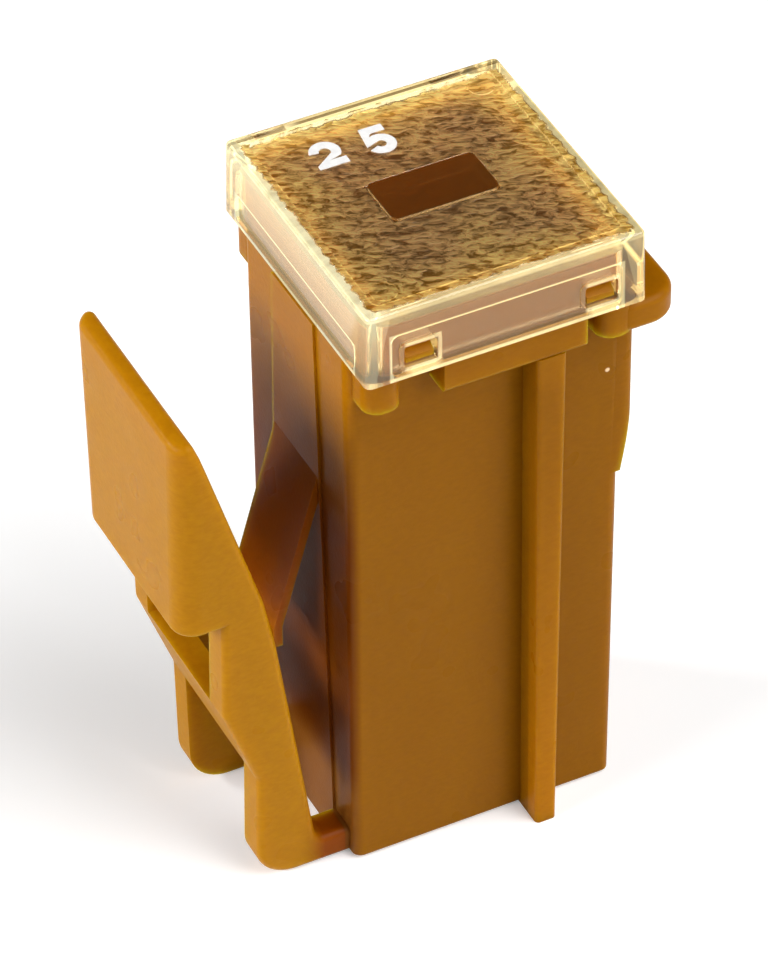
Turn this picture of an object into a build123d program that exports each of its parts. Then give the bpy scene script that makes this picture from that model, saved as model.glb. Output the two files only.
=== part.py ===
"""Female cartridge fuse for a vehicle fuse box, with a moulded-in latch lever and a clear snap-fit cover.

Millimetres, +Z up. The origin is the centre of the housing's flat bottom face, which is the side that
goes into the fuse box. X runs across the wide face, with the latch lever on the -X side. Y is the depth.
Every piece is one function that returns one solid, and every fit is a named clearance.
"""

from build123d import *

import math
import os

# ---------------------------------------------------------------- housing body
BODY_WIDTH = 12.0
BODY_DEPTH = 9.15
BODY_HEIGHT = 27.1
BODY_CORNER_R = 0.4
BODY_DRAFT_DEG = 0.3
BODY_FOOT_CHAMFER = 0.2
FLOOR_THICK = 1.2
SIDE_WALL = 1.35
BROAD_WALL = 0.9
DIVIDER_THICK = 0.9
DIVIDER_TOP = 19.0
CHAMBER_CORNER_R = 0.3

# ------------------------------------------------- outside features of the body
FRONT_RIB_X = 2.2
FRONT_RIB_FOOT_WIDTH = 0.95
FRONT_RIB_HEAD_WIDTH = 1.3
FRONT_RIB_REACH = 1.45
FRONT_RIB_EDGE_R = 0.2
SIDE_PAD_THICK = 0.5
SIDE_PAD_FOOT_Z = 16.9
SIDE_PAD_RAMP_HEIGHT = 3.0
STOP_PANEL_FOOT_HALF_WIDTH = 2.75
STOP_PANEL_HEAD_HALF_WIDTH = 1.85
STOP_PANEL_THICK = 0.12

# --------------------------------------------------------- collar under the cover
COLLAR_HEIGHT = 1.75
COLLAR_REACH = 1.5
LEDGE_LEFT_X = -2.6
LEDGE_RIGHT_X = 3.7
LEDGE_EDGE_R = 0.25
BOSS_LENGTH = 1.6
BOSS_INSET = 0.2
BOSS_CORNER_R = 0.7
FLANGE_REACH = 1.85
FLANGE_THICK = 1.4
FLANGE_DROP = 0.4
FLANGE_CORNER_R = 1.35
FLANGE_EDGE_R = 0.35

# ------------------------------------------------- neck that carries the cover
NECK_HEIGHT = 2.25
NECK_WALL = 0.7
NECK_CORNER_R = 0.5
NECK_FLOOR_THICK = 0.8
LEFT_CATCH_X = -3.75
RIGHT_CATCH_X = 4.15
CATCH_WIDTH = 1.2
CATCH_HEIGHT = 0.75
CATCH_FOOT_Z = 0.6
CATCH_DEPTH_SHARE = 0.75

# ----------------------------------------------------------------- latch lever
LEVER_FOOT_HALF_WIDTH = 4.0
LEVER_HEAD_HALF_WIDTH = 4.95
CHEEK_THICK = 1.4
LEVER_TOP_Z = 25.6
LEVER_FOOT_Z = 0.1
PAD_FOOT_Z = 15.4
PAD_OUTER_X = -13.6
PAD_PLATE_THICK = 1.2
PAD_CORNER_R = 1.0
PAD_EDGE_R = 0.35
RAIL_OUTER_X = -11.7
LEG_OUTER_X = -10.2
BAR_TOP_Z = 10.3
BAR_FOOT_Z = 6.1
BAR_THICK = 1.2
LEVER_TIP_THICK = 0.8
LEVER_TIP_CHAMFER_Z = 0.8
LEVER_TIP_CHAMFER_X = 0.3
LEVER_KNEE_Z = 16.1
LEVER_KNEE_X = -9.85
LEVER_SHIN_Z = 13.4
LEVER_SHIN_X = -9.3
HINGE_INNER_X = -7.5
HINGE_WEB_THICK = 1.35
HINGE_OUTER_R = 1.7
HINGE_INNER_R = 0.5
LEVER_KNEE_R = 4.0
LEVER_EDGE_R = 0.3

# ------------------------------------------- sloping stop between lever and body
STOP_HALF_WIDTH = 1.95
STOP_TOP_Z = 19.3
STOP_TOE_Z = 11.9
STOP_TOE_X = -8.3
STOP_TOE_HEIGHT = 1.0
STOP_THICK = 0.4

# ---------------------------------------------------------------- clear cover
COVER_SIDE_OVERHANG = 0.15
COVER_BROAD_OVERHANG = 0.35
COVER_HEIGHT = 3.4
COVER_WALL = 0.8
COVER_TOP_THICK = 0.95
COVER_CORNER_R = 0.3
COVER_DRAFT_DEG = 1.4
COVER_EDGE_R = 0.16
COVER_FIT = 0.1
SKIRT_PANEL_MARGIN = 1.1
SKIRT_PANEL_FOOT = 0.2
BROAD_PANEL_HEIGHT = 2.2
SIDE_PANEL_HEIGHT = 1.45
SKIRT_PANEL_CORNER_R = 0.35
SKIRT_PANEL_DEEP = 0.15
TOP_FRAME_WIDTH = 0.75
TOP_FIELD_DEEP = 0.12
TOP_FIELD_R = 0.3
SIGHT_WIDTH = 4.75
SIGHT_DEPTH = 2.55
SIGHT_R = 0.35
PIN_MARK_R = 0.55
PIN_MARK_RISE = 0.06
PIN_MARK_INSET = 0.75
CATCH_WINDOW_GAP = 0.12
RIM_BORDER = 0.32

# ------------------------------------------------------ fuse element and its terminals
TAB_WIDTH = 4.8
TAB_THICK = 0.8
TAB_PITCH = 5.6
TAB_SIDE_GAP = 0.1
SLOT_GAP = 0.2
SLOT_LEAD_IN = 0.3
STRIP_THICK = 0.4
CURL_R = 0.75
RECEPTACLE_LENGTH = 7.5
RECEPTACLE_MOUTH_RISE = 1.0
SHANK_WIDTH = 2.6
SHANK_TAPER_HEIGHT = 2.4
LINK_Z = 23.0
LINK_BEND_R = 0.9
LINK_WIDTH = 0.95
LINK_HALF_LENGTH = 1.5
LINK_TAPER_LENGTH = 0.8
FUSIBLE_HOLE_R = 0.22
FUSIBLE_HOLE_X = 1.15
TERMINAL_BACK_RIB_WIDTH = 1.2
TERMINAL_BACK_RIB_TOP = 20.0
TERMINAL_FIT = 0.05
PELLET_LENGTH = 1.3
PELLET_WRAP = 0.28
PELLET_EDGE_CHAMFER = 0.18

# ------------------------------------------------------------ worked-out places
CAVITY_HALF_X = BODY_WIDTH / 2 - SIDE_WALL
CAVITY_HALF_Y = BODY_DEPTH / 2 - BROAD_WALL
COLLAR_FACE_Y = BODY_DEPTH / 2 + COLLAR_REACH
COLLAR_FOOT_Z = BODY_HEIGHT - COLLAR_HEIGHT
COVER_WIDTH = BODY_WIDTH + 2 * COVER_SIDE_OVERHANG
COVER_DEPTH = 2 * (COLLAR_FACE_Y + COVER_BROAD_OVERHANG)
COVER_TOP_Z = BODY_HEIGHT + COVER_HEIGHT
NECK_TOP_Z = BODY_HEIGHT + NECK_HEIGHT
NECK_HALF_X = COVER_WIDTH / 2 - COVER_WALL - COVER_FIT
NECK_HALF_Y = COVER_DEPTH / 2 - COVER_WALL - COVER_FIT
CATCH_REACH = COVER_WALL * CATCH_DEPTH_SHARE
BASE_X = TAB_PITCH / 2 + TAB_THICK / 2 + STRIP_THICK / 2
CURL_CENTRE_Y = TAB_WIDTH / 2 + TAB_SIDE_GAP + STRIP_THICK / 2 - CURL_R
HINGE_WEB_TOP_Z = LEVER_FOOT_Z + HINGE_WEB_THICK
BODY_SPREAD = math.tan(math.radians(BODY_DRAFT_DEG))


def body_half_width(z):
    """Half of the housing's width at height z, with the mould's draft."""
    return BODY_WIDTH / 2 + BODY_SPREAD * z


def block(x_range, y_range, z_range):
    """A box between two limits along each axis."""
    size = [high - low for low, high in (x_range, y_range, z_range)]
    middle = [(high + low) / 2 for low, high in (x_range, y_range, z_range)]
    return Pos(*middle) * Box(*size)


def rounded_block(x_range, y_range, z_range, radius):
    """A box between limits, with its four upright edges rounded."""
    outline = RectangleRounded(x_range[1] - x_range[0], y_range[1] - y_range[0], radius)
    centre = Pos(sum(x_range) / 2, sum(y_range) / 2, z_range[0])
    return extrude(centre * outline, z_range[1] - z_range[0])


def rounded_outline(corners):
    """A closed outline in the X-Z plane from (x, z, radius) corners, each rounded by its own radius."""
    outline = make_face(Polyline(*[(x, z) for x, z, _ in corners], close=True))
    for x, z, radius in corners:
        if radius > 0:
            corner = outline.vertices().sort_by_distance(Vector(x, z, 0))[0]
            outline = fillet(corner, radius)
    return outline


def prism_y(outline, half_width):
    """An X-Z outline, extruded by half_width to each side of Y = 0."""
    return extrude(Plane.XZ * outline, half_width, both=True)


def polygon(*points):
    """A closed face with straight sides."""
    return make_face(Polyline(*points, close=True))


def upright_taper(foot_half_width, head_half_width, foot_z, top_z):
    """A symmetrical four-sided face, to be seen along X, whose width changes evenly from foot to head."""
    return polygon(
        (-foot_half_width, foot_z),
        (foot_half_width, foot_z),
        (head_half_width, top_z),
        (-head_half_width, top_z),
    )


# =============================================================== housing, part by part
def body_block():
    """The upright block, drafted, from the bottom face up to the cover's seat."""
    foot = RectangleRounded(BODY_WIDTH, BODY_DEPTH, BODY_CORNER_R)
    body = extrude(foot, BODY_HEIGHT, taper=-BODY_DRAFT_DEG)
    return chamfer(body.edges().group_by(Axis.Z)[0], BODY_FOOT_CHAMFER)


def front_rib():
    """The keying rib down the whole front face, wider at its head than at its foot."""
    foot, head = FRONT_RIB_FOOT_WIDTH / 2, FRONT_RIB_HEAD_WIDTH / 2
    outline = Pos(FRONT_RIB_X, 0) * upright_taper(foot, head, 0, COLLAR_FOOT_Z)
    root_y = BODY_DEPTH / 2 - BROAD_WALL / 2
    reach = BODY_DEPTH / 2 + FRONT_RIB_REACH - root_y
    rib = extrude(Plane.XZ.offset(root_y) * outline, reach)
    front_edges = rib.faces().sort_by(Axis.Y)[0].edges().filter_by(lambda edge: edge.length > reach * 2)
    return fillet(front_edges, FRONT_RIB_EDGE_R)


def side_pad():
    """The thicker upper part of the +X side, which runs out in a ramp at its foot."""
    ramp_top_z = SIDE_PAD_FOOT_Z + SIDE_PAD_RAMP_HEIGHT
    outline = polygon(
        (0, SIDE_PAD_FOOT_Z),
        (body_half_width(SIDE_PAD_FOOT_Z), SIDE_PAD_FOOT_Z),
        (body_half_width(ramp_top_z) + SIDE_PAD_THICK, ramp_top_z),
        (body_half_width(BODY_HEIGHT) + SIDE_PAD_THICK, COLLAR_FOOT_Z),
        (0, COLLAR_FOOT_Z),
    )
    depth = BODY_DEPTH / 2 + BODY_SPREAD * SIDE_PAD_FOOT_Z
    x_range = (0, body_half_width(BODY_HEIGHT) + SIDE_PAD_THICK)
    corners = rounded_block(x_range, (-depth, depth), (0, BODY_HEIGHT), BODY_CORNER_R)
    return prism_y(outline, BODY_DEPTH) & corners


def stop_panel():
    """The slightly raised middle strip of the -X side, behind the latch lever, wider at its foot."""
    outline = polygon(
        (0, 0),
        (-body_half_width(0) - STOP_PANEL_THICK, 0),
        (-body_half_width(BODY_HEIGHT) - STOP_PANEL_THICK, BODY_HEIGHT),
        (0, BODY_HEIGHT),
    )
    side_view = upright_taper(STOP_PANEL_FOOT_HALF_WIDTH, STOP_PANEL_HEAD_HALF_WIDTH, 0, BODY_HEIGHT)
    return prism_y(outline, STOP_PANEL_FOOT_HALF_WIDTH) & extrude(Plane.YZ * side_view, -BODY_WIDTH)


def collar():
    """The ledges and rounded corner bosses that carry the cover's skirt, front and back alike."""
    root_y = BODY_DEPTH / 2 - BODY_CORNER_R
    ledge_x = (LEDGE_LEFT_X, LEDGE_RIGHT_X)
    height = (COLLAR_FOOT_Z, BODY_HEIGHT)
    half_width = body_half_width(COLLAR_FOOT_Z)
    pieces = []
    boss_start = half_width - BOSS_INSET - BOSS_LENGTH
    for y_range in ((-COLLAR_FACE_Y, -root_y), (root_y, COLLAR_FACE_Y)):
        ledge = block(ledge_x, y_range, height)
        pieces.append(fillet(ledge.edges().group_by(Axis.Z)[0].filter_by(Axis.X), LEDGE_EDGE_R))
        for x_range in ((-half_width + BOSS_INSET, -boss_start), (boss_start, half_width - BOSS_INSET)):
            pieces.append(rounded_block(x_range, y_range, height, BOSS_CORNER_R))
    return pieces


def side_flange():
    """The flat flange along the +X side, level with the collar, that a fuse puller hooks under."""
    x_range = (body_half_width(COLLAR_FOOT_Z) - BOSS_LENGTH, body_half_width(COLLAR_FOOT_Z) + FLANGE_REACH)
    top_z = BODY_HEIGHT - FLANGE_DROP
    z_range = (top_z - FLANGE_THICK, top_z)
    flange = rounded_block(x_range, (-COLLAR_FACE_Y, COLLAR_FACE_Y), z_range, FLANGE_CORNER_R)
    rims = flange.edges().group_by(Axis.Z)[0] + flange.edges().group_by(Axis.Z)[-1]
    return fillet(rims, FLANGE_EDGE_R)


def neck():
    """The low rectangular collar inside the cover."""
    z_range = (BODY_HEIGHT, NECK_TOP_Z)
    return rounded_block((-NECK_HALF_X, NECK_HALF_X), (-NECK_HALF_Y, NECK_HALF_Y), z_range, NECK_CORNER_R)


def snap_catches():
    """Four wedges on the neck, sloped on top, that click into the windows of the cover's skirt."""
    foot_z = BODY_HEIGHT + CATCH_FOOT_Z
    outer_y = NECK_HALF_Y + COVER_FIT + CATCH_REACH
    wedge = polygon(
        (NECK_HALF_Y - NECK_WALL / 2, foot_z),
        (outer_y, foot_z),
        (outer_y, foot_z + CATCH_HEIGHT / 3),
        (NECK_HALF_Y, foot_z + CATCH_HEIGHT),
        (NECK_HALF_Y - NECK_WALL / 2, foot_z + CATCH_HEIGHT),
    )
    catch = extrude(Plane.YZ * wedge, CATCH_WIDTH / 2, both=True)
    catches = []
    for x in (LEFT_CATCH_X, RIGHT_CATCH_X):
        catches.append(Pos(x, 0, 0) * catch)
        catches.append(Pos(x, 0, 0) * mirror(catch, Plane.XZ))
    return catches


def chambers():
    """The hollow: two terminal chambers side by side, open upwards into the neck."""
    hollow = rounded_block(
        (-CAVITY_HALF_X, CAVITY_HALF_X),
        (-CAVITY_HALF_Y, CAVITY_HALF_Y),
        (FLOOR_THICK, NECK_TOP_Z),
        CHAMBER_CORNER_R,
    )
    hollow -= block(
        (-DIVIDER_THICK / 2, DIVIDER_THICK / 2),
        (-BODY_DEPTH / 2, BODY_DEPTH / 2),
        (0, DIVIDER_TOP),
    )
    back_x = BASE_X + STRIP_THICK / 2 + TERMINAL_FIT
    half_rib = TERMINAL_BACK_RIB_WIDTH / 2
    for x_range in ((back_x, BODY_WIDTH / 2), (-BODY_WIDTH / 2, -back_x)):
        hollow -= block(x_range, (-half_rib, half_rib), (0, TERMINAL_BACK_RIB_TOP))
    pocket_y = NECK_HALF_Y - NECK_WALL
    hollow += rounded_block(
        (-CAVITY_HALF_X, CAVITY_HALF_X),
        (-pocket_y, pocket_y),
        (BODY_HEIGHT + NECK_FLOOR_THICK, NECK_TOP_Z),
        CHAMBER_CORNER_R,
    )
    return hollow


def tab_slots():
    """The two slots in the floor that the fuse box's tabs come through, with a sloped lead-in."""
    width = TAB_THICK + 2 * SLOT_GAP
    depth = TAB_WIDTH + 2 * SLOT_GAP
    mouth = Rectangle(width + 2 * SLOT_LEAD_IN, depth + 2 * SLOT_LEAD_IN)
    throat = Pos(0, 0, SLOT_LEAD_IN) * Rectangle(width, depth)
    slot = loft([mouth, throat]) + extrude(Rectangle(width, depth), FLOOR_THICK)
    return [Pos(x, 0, 0) * slot for x in (-TAB_PITCH / 2, TAB_PITCH / 2)]


def lever_outline():
    """The latch lever seen from the front: pad, shoulder, sloped barb, leg and bottom hinge web."""
    root_x = -BODY_WIDTH / 2 + SIDE_WALL / 3
    return rounded_outline(
        [
            (PAD_OUTER_X, PAD_FOOT_Z, 0),
            (PAD_OUTER_X, LEVER_TOP_Z, 0),
            (PAD_OUTER_X + LEVER_TIP_THICK, LEVER_TOP_Z, 0),
            (PAD_OUTER_X + LEVER_TIP_THICK + LEVER_TIP_CHAMFER_X, LEVER_TOP_Z - LEVER_TIP_CHAMFER_Z, 0),
            (LEVER_KNEE_X, LEVER_KNEE_Z, LEVER_KNEE_R),
            (LEVER_SHIN_X, LEVER_SHIN_Z, LEVER_KNEE_R),
            (HINGE_INNER_X, HINGE_WEB_TOP_Z, HINGE_INNER_R),
            (root_x, HINGE_WEB_TOP_Z, 0),
            (root_x, LEVER_FOOT_Z, 0),
            (LEG_OUTER_X, LEVER_FOOT_Z, HINGE_OUTER_R),
            (LEG_OUTER_X, BAR_FOOT_Z, HINGE_INNER_R),
            (RAIL_OUTER_X, BAR_TOP_Z, HINGE_INNER_R),
            (RAIL_OUTER_X, PAD_FOOT_Z, 0),
        ]
    )


def lever_prism(outline, inset=0.0):
    """An X-Z outline given the lever's width, which grows from foot to head, less an inset on each side."""
    foot, head = LEVER_FOOT_HALF_WIDTH - inset, LEVER_HEAD_HALF_WIDTH - inset
    side_view = upright_taper(foot, head, LEVER_FOOT_Z, LEVER_TOP_Z)
    width = extrude(Plane.YZ * side_view, 2 * PAD_OUTER_X)
    return prism_y(outline, 2 * LEVER_HEAD_HALF_WIDTH) & width


def soften_lever(lever):
    """The lever's solid with the pad's upright corners rounded, and then the rims of both side faces."""
    upright = lever.edges().group_by(Axis.X)[0].sort_by(Axis.Y)
    lever = fillet([upright[0], upright[-1]], PAD_CORNER_R)
    seam_x = PAD_OUTER_X + PAD_CORNER_R
    sides = lever.faces().filter_by(GeomType.PLANE).sort_by(Axis.Y)
    rims = sides[0].edges() + sides[-1].edges()
    rims = rims.filter_by(lambda edge: abs(edge.center().X - seam_x) > edge.length / 100)
    return fillet(rims, LEVER_EDGE_R)


def latch_lever():
    """The sprung lever: two cheeks joined by the finger pad above and the sloped barb bar below."""
    outline = lever_outline()
    lever = soften_lever(lever_prism(outline))
    pad_plate = block(
        (PAD_OUTER_X, PAD_OUTER_X + PAD_PLATE_THICK),
        (-LEVER_HEAD_HALF_WIDTH, LEVER_HEAD_HALF_WIDTH),
        (PAD_FOOT_Z, LEVER_TOP_Z),
    )
    bar = prism_y(
        polygon(
            (RAIL_OUTER_X, BAR_TOP_Z),
            (LEG_OUTER_X, BAR_FOOT_Z),
            (LEG_OUTER_X + BAR_THICK, BAR_FOOT_Z),
            (RAIL_OUTER_X + BAR_THICK, BAR_TOP_Z),
        ),
        LEVER_HEAD_HALF_WIDTH,
    )
    lever -= lever_prism(outline, CHEEK_THICK) - pad_plate - bar
    return fillet(lever.edges().group_by(Axis.Z)[-1].filter_by(Axis.Y), PAD_EDGE_R)


def lever_stop():
    """The thin sloping leaf on the -X side that stops the lever from being pressed in too far."""
    face_x = -BODY_WIDTH / 2 - STOP_PANEL_THICK - BODY_SPREAD * STOP_TOP_Z
    root_x = -BODY_WIDTH / 2 + SIDE_WALL / 3
    slope = (face_x - STOP_TOE_X) / (STOP_TOP_Z - STOP_TOE_Z)
    inner_x = STOP_TOE_X + STOP_THICK
    underside_z = STOP_TOE_Z + (face_x - inner_x) / slope
    return prism_y(
        polygon(
            (root_x, STOP_TOP_Z),
            (face_x, STOP_TOP_Z),
            (STOP_TOE_X, STOP_TOE_Z),
            (STOP_TOE_X, STOP_TOE_Z - STOP_TOE_HEIGHT),
            (inner_x, STOP_TOE_Z - STOP_TOE_HEIGHT),
            (inner_x, STOP_TOE_Z),
            (face_x, underside_z),
            (root_x, underside_z),
        ),
        STOP_HALF_WIDTH,
    )


def housing():
    """The one-piece moulding: body, rib, collar, neck and latch lever, hollowed for the fuse element."""
    moulding = body_block() + front_rib() + side_pad() + stop_panel() + side_flange()
    moulding += collar()
    moulding += neck()
    moulding += snap_catches()
    moulding += latch_lever()
    moulding += lever_stop()
    moulding -= chambers()
    moulding -= tab_slots()
    return moulding


# ================================================================================= cover
def skirt_panels():
    """What is cut from the skirt's four faces to leave each a shallow panel with a border all round."""
    broad = (0, COVER_DEPTH, COVER_WIDTH, BROAD_PANEL_HEIGHT)
    narrow = (90, COVER_WIDTH, COVER_DEPTH, SIDE_PANEL_HEIGHT)
    cuts = []
    for turn, size, across, top in (broad, narrow):
        height = top - SKIRT_PANEL_FOOT
        outline = RectangleRounded(across - 2 * SKIRT_PANEL_MARGIN, height, SKIRT_PANEL_CORNER_R)
        outline = Pos(0, BODY_HEIGHT + SKIRT_PANEL_FOOT + height / 2) * outline
        panel = extrude(Plane.XZ.offset(size / 2 - SKIRT_PANEL_DEEP) * outline, size)
        cuts.append(Rot(0, 0, turn) * panel)
        cuts.append(Rot(0, 0, turn + 180) * panel)
    return cuts


def window_blocks(border, y_reach):
    """A rounded block at each of the four catches, larger than the catch by border all round."""
    width = CATCH_WIDTH + 2 * border
    height = CATCH_HEIGHT + 2 * border
    centre_z = BODY_HEIGHT + CATCH_FOOT_Z + CATCH_HEIGHT / 2
    outline = RectangleRounded(width, height, border)
    inner_y = COVER_DEPTH / 2 - COVER_WALL - COVER_FIT
    shape = extrude(Plane.XZ * (Pos(0, centre_z) * outline), y_reach)
    shape = Pos(0, -inner_y, 0) * shape
    blocks = []
    for x in (LEFT_CATCH_X, RIGHT_CATCH_X):
        blocks.append(Pos(x, 0, 0) * shape)
        blocks.append(Pos(x, 0, 0) * mirror(shape, Plane.XZ))
    return blocks


def top_field():
    """The shallow field in the cover's top, with the sight window and two pin marks left standing."""
    half_x = COVER_WIDTH / 2 - TOP_FRAME_WIDTH
    half_y = COVER_DEPTH / 2 - TOP_FRAME_WIDTH
    z_range = (COVER_TOP_Z - TOP_FIELD_DEEP, COVER_TOP_Z + 1)
    field = rounded_block((-half_x, half_x), (-half_y, half_y), z_range, TOP_FIELD_R)
    sight_x, sight_y = SIGHT_WIDTH / 2, SIGHT_DEPTH / 2
    field -= rounded_block((-sight_x, sight_x), (-sight_y, sight_y), z_range, SIGHT_R)
    mark_x, mark_y = half_x - PIN_MARK_INSET, half_y - PIN_MARK_INSET
    for x, y in ((-mark_x, -mark_y), (mark_x, mark_y)):
        field -= Pos(x, y, z_range[0]) * Cylinder(PIN_MARK_R, 2 * PIN_MARK_RISE)
    return field


def clear_cover():
    """The transparent snap-fit cover: a shallow box, open below, with four catch windows."""
    foot = Pos(0, 0, BODY_HEIGHT) * RectangleRounded(COVER_WIDTH, COVER_DEPTH, COVER_CORNER_R)
    cover = extrude(foot, COVER_HEIGHT, taper=COVER_DRAFT_DEG)
    cover = fillet(cover.edges().group_by(Axis.Z)[-1], COVER_EDGE_R)
    rims = window_blocks(RIM_BORDER, COVER_WALL)
    for cut in skirt_panels():
        cover -= cut - rims
    half_x = COVER_WIDTH / 2 - COVER_WALL
    half_y = COVER_DEPTH / 2 - COVER_WALL
    z_range = (BODY_HEIGHT, COVER_TOP_Z - COVER_TOP_THICK)
    cover -= rounded_block((-half_x, half_x), (-half_y, half_y), z_range, NECK_CORNER_R)
    cover -= window_blocks(CATCH_WINDOW_GAP, COVER_WALL * 2)
    cover -= top_field()
    return cover


# ========================================================================== fuse element
def receptacle():
    """A female terminal at the +X tab: a flat base whose two edges curl round and press on the tab."""
    turn = 360 - math.degrees(math.acos(1 - (TAB_THICK + STRIP_THICK) / CURL_R))
    base = Line((BASE_X, -CURL_CENTRE_Y), (BASE_X, CURL_CENTRE_Y))
    far_curl = CenterArc((BASE_X - CURL_R, CURL_CENTRE_Y), CURL_R, 0, turn)
    near_curl = CenterArc((BASE_X - CURL_R, -CURL_CENTRE_Y), CURL_R, 0, -turn)
    section = trace([base, far_curl, near_curl], STRIP_THICK)
    tube = extrude(Pos(0, 0, FLOOR_THICK) * section, RECEPTACLE_LENGTH)
    lip_x = BASE_X - 2 * CURL_R - STRIP_THICK
    lead_in = polygon(
        (lip_x, FLOOR_THICK),
        (BASE_X - STRIP_THICK / 2, FLOOR_THICK),
        (lip_x, FLOOR_THICK + RECEPTACLE_MOUTH_RISE),
    )
    return tube - prism_y(lead_in, CURL_CENTRE_Y)


def shank():
    """The flat strip that rises from a terminal's base and narrows towards the link."""
    foot_z = FLOOR_THICK + RECEPTACLE_LENGTH
    bend_z = LINK_Z - LINK_BEND_R
    half_foot, half_top = CURL_CENTRE_Y, SHANK_WIDTH / 2
    outline = polygon(
        (-half_foot, FLOOR_THICK),
        (half_foot, FLOOR_THICK),
        (half_foot, foot_z),
        (half_top, foot_z + SHANK_TAPER_HEIGHT),
        (half_top, bend_z),
        (-half_top, bend_z),
        (-half_top, foot_z + SHANK_TAPER_HEIGHT),
        (-half_foot, foot_z),
    )
    face = Plane.YZ.offset(BASE_X - STRIP_THICK / 2) * outline
    return extrude(face, STRIP_THICK)


def fusible_link():
    """The narrow bridge between the two shanks, bent down at each end, with a hole at each weak spot."""
    bend_z = LINK_Z - LINK_BEND_R
    bend_x = BASE_X - LINK_BEND_R
    bridge = Line((-bend_x, LINK_Z), (bend_x, LINK_Z))
    right_bend = CenterArc((bend_x, bend_z), LINK_BEND_R, 0, 90)
    left_bend = CenterArc((-bend_x, bend_z), LINK_BEND_R, 90, 90)
    band = prism_y(trace([bridge, right_bend, left_bend], STRIP_THICK), SHANK_WIDTH / 2)
    half_link, half_shank = LINK_WIDTH / 2, SHANK_WIDTH / 2
    taper_x = LINK_HALF_LENGTH + LINK_TAPER_LENGTH
    end_x = BASE_X + STRIP_THICK
    quarter = [
        (LINK_HALF_LENGTH, half_link),
        (taper_x, half_shank),
        (end_x, half_shank),
    ]
    plan = quarter + [(x, -y) for x, y in reversed(quarter)]
    plan += [(-x, -y) for x, y in quarter] + [(-x, y) for x, y in reversed(quarter)]
    width = extrude(Pos(0, 0, bend_z) * polygon(*plan), 2 * LINK_BEND_R)
    link = band & width
    for x in (-FUSIBLE_HOLE_X, FUSIBLE_HOLE_X):
        link -= Pos(x, 0, LINK_Z) * Cylinder(FUSIBLE_HOLE_R, 2 * STRIP_THICK)
    return link


def fuse_element():
    """The stamped strip in one piece: terminal, shank, fusible link, shank and terminal."""
    right_half = receptacle() + shank()
    return right_half + mirror(right_half, Plane.YZ) + fusible_link()


def tin_pellet(element):
    """The bead of tin pressed round the middle of the link, which makes the fuse slow-acting."""
    bead = Box(PELLET_LENGTH, LINK_WIDTH + 2 * PELLET_WRAP, STRIP_THICK + 2 * PELLET_WRAP)
    bead = chamfer(bead.edges(), PELLET_EDGE_CHAMFER)
    return Pos(0, 0, LINK_Z) * bead - element


def main():
    os.makedirs("parts", exist_ok=True)
    element = fuse_element()
    pieces = {
        "housing": housing(),
        "clear_cover": clear_cover(),
        "fuse_element": element,
        "tin_pellet": tin_pellet(element),
    }
    for name, piece in pieces.items():
        export_step(piece, f"parts/{name}.step")


main()
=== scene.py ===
"""Looks of a vehicle cartridge fuse: amber housing, clear cover, tinned element, printed rating and studio."""

import math

import bpy
import numpy as np
from mathutils import Matrix, Vector


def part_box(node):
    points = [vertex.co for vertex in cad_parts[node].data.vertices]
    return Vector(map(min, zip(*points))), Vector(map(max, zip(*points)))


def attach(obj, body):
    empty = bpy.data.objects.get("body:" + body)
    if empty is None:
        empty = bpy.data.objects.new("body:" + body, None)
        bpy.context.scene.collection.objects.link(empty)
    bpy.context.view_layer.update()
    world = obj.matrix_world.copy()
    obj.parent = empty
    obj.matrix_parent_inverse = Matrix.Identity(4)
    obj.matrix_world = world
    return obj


bl_info = {
    "name": "Cartridge Fuse Looks",
    "version": (1, 0, 0),
    "blender": (4, 5, 0),
    "location": "3D View > Sidebar > Fuse",
    "description": "Dresses the packed cartridge fuse and sets its studio",
    "category": "Object",
}

MM = 0.001

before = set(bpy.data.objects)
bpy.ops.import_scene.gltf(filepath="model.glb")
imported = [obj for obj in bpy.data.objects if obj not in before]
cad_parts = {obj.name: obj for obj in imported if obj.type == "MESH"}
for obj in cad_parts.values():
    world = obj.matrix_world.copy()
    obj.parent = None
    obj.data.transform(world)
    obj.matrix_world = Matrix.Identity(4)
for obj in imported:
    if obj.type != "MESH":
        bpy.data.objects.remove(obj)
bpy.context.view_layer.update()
COVER_LOW, COVER_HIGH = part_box("clear_cover")
HOUSING_LOW, HOUSING_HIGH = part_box("housing")

BLACK = (0.0, 0.0, 0.0)
WHITE = (1.0, 1.0, 1.0)
SPECK_COLOUR = (0.9, 0.9, 0.9)
PLASTIC_IOR = 1.5

# How far red, green and blue light go into the amber, as shares of its glow depth.
GLOW_REACH = (1.0, 0.85, 0.7)

# The body's left side, and the border between the lever and what lies behind it. The border moves outwards
# between two heights, because the stop's toe reaches further out and the lever leans away.
SIDE_X = COVER_LOW.x
LEVER_X = SIDE_X - 1.6 * MM
LEAN_START_Z, LEAN_END_Z = 9.0 * MM, 11.0 * MM
LEVER_LEAN = 0.9 * MM
LEVER_EDGE, STOP_EDGE = 0.6 * MM, 0.4 * MM

# Within this depth of the housing's front lie the rib, the ledge and the bosses, and nothing of the body.
PROUD_DEPTH = 1.0 * MM

# Where the amber's painted light and shade start and end: the painted light on the foot as heights, the
# others as shares of the whole height. SHADE_FADE is the painted shade behind the lever; the others are painted
# light.
LIT_FOOT_FADE_Z = (3.5 * MM, 5.0 * MM)
SHADE_FADE = (0.60, 0.80)
RIB_LIGHT_FADE = (0.0, 0.75)
COLLAR_LIGHT_RISE = (0.80, 0.84)
SIDE_TOP_LIGHT_RISE = (0.78, 0.86)

# A place within COVER_SKIN of the cover's outside belongs to that wall. SHARP softens the cover's lines.
COVER_SKIN = 0.5 * MM
SHARP = 0.03 * MM

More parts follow.
